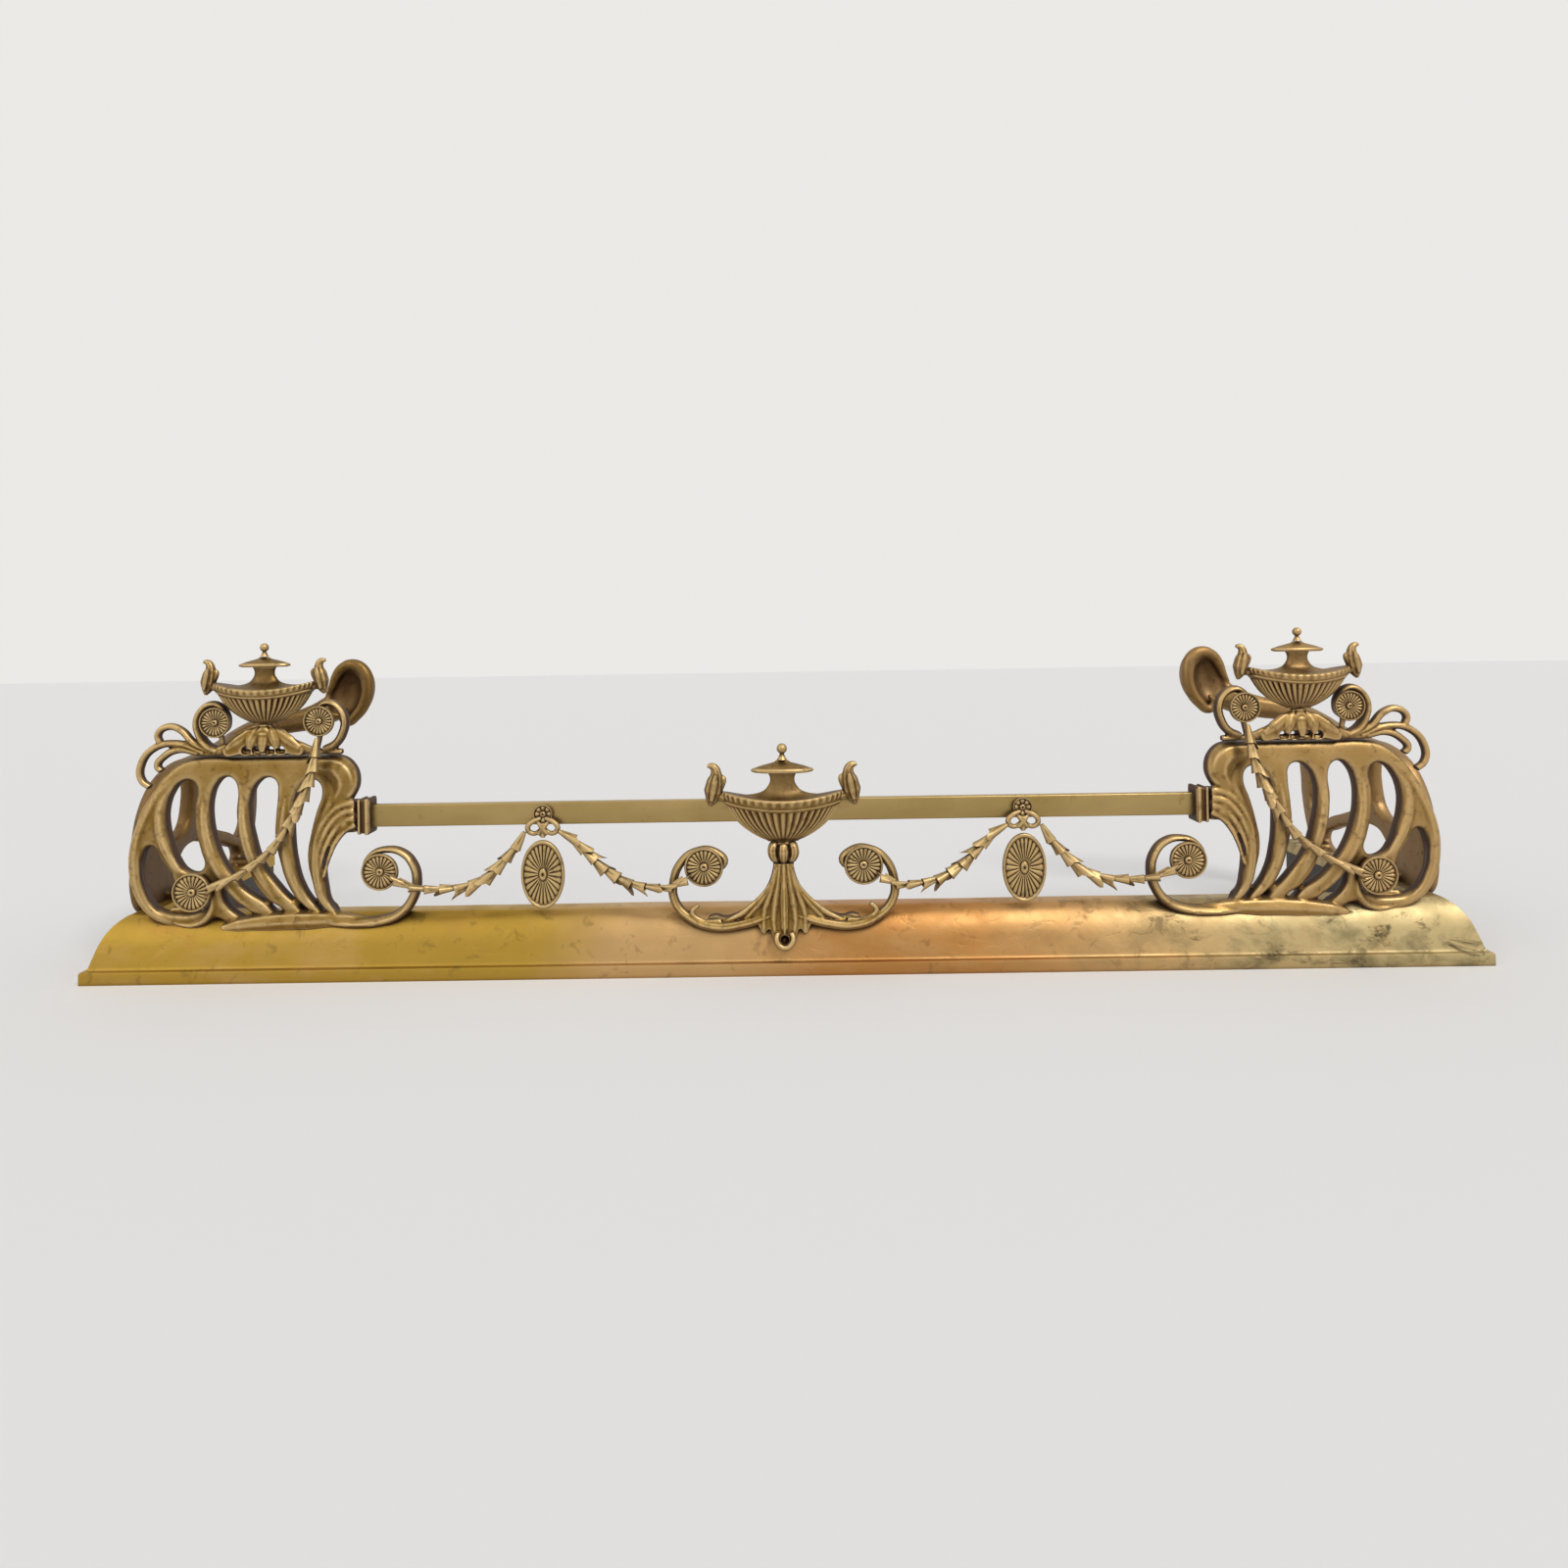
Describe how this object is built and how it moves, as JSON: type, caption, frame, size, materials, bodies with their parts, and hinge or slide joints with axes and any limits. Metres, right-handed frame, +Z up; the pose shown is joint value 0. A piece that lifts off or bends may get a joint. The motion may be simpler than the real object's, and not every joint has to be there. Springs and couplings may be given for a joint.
{
  "type": "fire fender",
  "caption": "U-shaped brass hearth fender: moulded kerb, flat-bar rail, openwork cast end cages, urns, husk swags, oval paterae and round rosettes.",
  "frame": {"origin": "on the floor at the middle of the bounding box", "axes": "+X along the front towards the right-hand end, +Y back towards the fireplace, +Z up"},
  "size_m": [1.37, 0.305, 0.3273],
  "materials": {
    "kerb_brass": "pressed sheet brass, uneven golden to copper tarnish with dark pits",
    "cast_brass": "antique cast brass, worn lighter on the ridges",
    "urn_brass": "dark olive cast brass",
    "ornament_brass": "greenish aged brass",
    "rail_brass": "satin drawn bar",
    "iron": "dark, lightly rusted"
  },
  "bodies": {
    "root": {"cage_screw_left_1": "iron", "cage_screw_left_2": "iron", "cage_screw_right_1": "iron", "cage_screw_right_2": "iron", "calyx_collar": "cast_brass", "centre_mount": "cast_brass", "centre_screw": "iron", "corner_bracket_left": "iron", "corner_bracket_right": "iron", "crest_left": "cast_brass", "crest_right": "cast_brass", "end_cage_left": "cast_brass", "end_cage_right": "cast_brass", "kerb_front": "kerb_brass", "kerb_return_left": "kerb_brass", "kerb_return_right": "kerb_brass", "patera_left": "ornament_brass", "patera_right": "ornament_brass", "rail": "rail_brass", "rail_ferrule_left": "cast_brass", "rail_ferrule_right": "cast_brass", "ribbon_knot_left": "ornament_brass", "ribbon_knot_right": "ornament_brass", "rosette_centre_left": "ornament_brass", "rosette_centre_right": "ornament_brass", "rosette_lower_left": "ornament_brass", "rosette_lower_right": "ornament_brass", "rosette_upper_inner_left": "ornament_brass", "rosette_upper_inner_right": "ornament_brass", "rosette_upper_outer_left": "ornament_brass", "rosette_upper_outer_right": "ornament_brass", "rosette_volute_left": "ornament_brass", "rosette_volute_right": "ornament_brass", "side_casting_left": "cast_brass", "side_casting_right": "cast_brass", "side_screw_left_1": "iron", "side_screw_left_2": "iron", "side_screw_right_1": "iron", "side_screw_right_2": "iron", "swag_end_left": "ornament_brass", "swag_end_right": "ornament_brass", "swag_inner_left": "ornament_brass", "swag_inner_right": "ornament_brass", "swag_outer_left": "ornament_brass", "swag_outer_right": "ornament_brass", "under_frame_front": "iron", "under_frame_left": "iron", "under_frame_right": "iron", "urn_bowl_centre": "urn_brass", "urn_bowl_left": "urn_brass", "urn_bowl_right": "urn_brass", "urn_finial_centre": "urn_brass", "urn_finial_left": "urn_brass", "urn_finial_right": "urn_brass", "urn_lid_centre": "urn_brass", "urn_lid_left": "urn_brass", "urn_lid_right": "urn_brass"}
  },
  "joints": []
}
